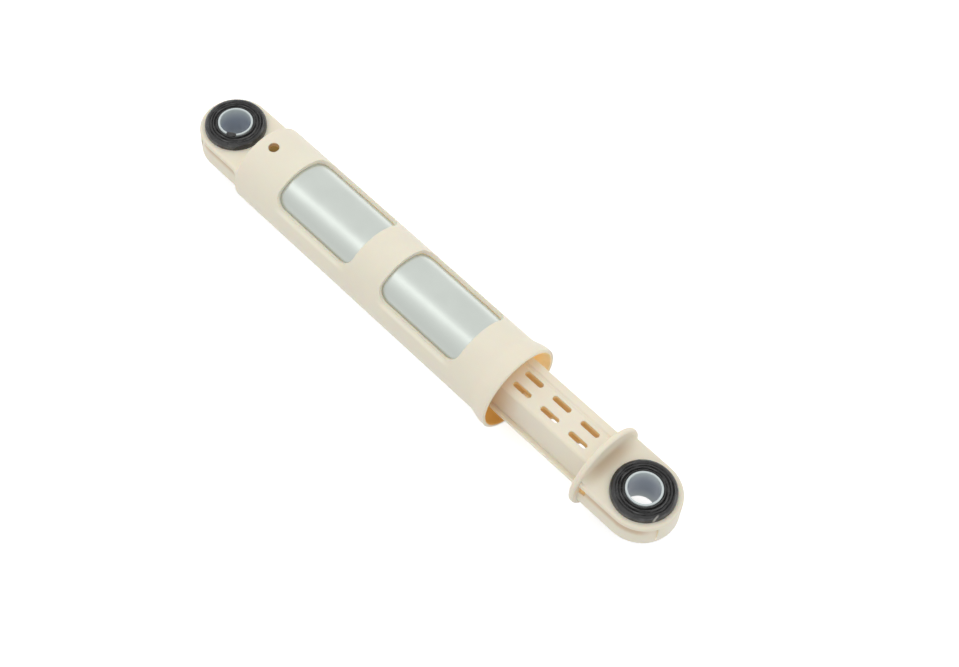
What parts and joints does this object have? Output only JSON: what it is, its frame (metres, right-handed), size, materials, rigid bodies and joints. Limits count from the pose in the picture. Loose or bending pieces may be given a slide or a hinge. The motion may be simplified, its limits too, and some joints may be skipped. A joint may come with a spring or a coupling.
{
  "type": "washing machine suspension arm",
  "caption": "Telescopic friction damper arm: a windowed plastic housing over a steel tube, a slotted sliding rod, and a rubber-bushed eye at each end.",
  "frame": {"origin": "centre of the housing eye's bore, half way along the bore", "axes": "+X along the arm from the housing eye to the rod eye, +Z along both eye bores, +Y across"},
  "size_m": [0.207, 0.0304, 0.0304],
  "materials": {
    "cream_plastic": "moulded satin",
    "zinc_steel": "zinc plated",
    "greased_foam": "open foam",
    "black_rubber": "moulded",
    "milky_plastic": "smooth"
  },
  "bodies": {
    "housing_body": {"housing": "cream_plastic", "steel_tube": "zinc_steel", "housing_eye_bush": "black_rubber", "housing_eye_sleeve": "milky_plastic"},
    "lining_body": {"friction_lining": "greased_foam"},
    "rod_body": {"rod": "cream_plastic", "rod_eye_bush": "black_rubber", "rod_eye_sleeve": "milky_plastic"}
  },
  "joints": [
    {"name": "rod_slide", "type": "slide", "parent": "housing_body", "child": "lining_body", "axis": [1, 0, 0], "range_m": [-0.0344, 0.0379]},
    {"name": "rod_turn", "type": "hinge", "parent": "lining_body", "child": "rod_body", "pos_m": [0.0711, 0, 0], "axis": [1, 0, 0], "continuous": true}
  ]
}
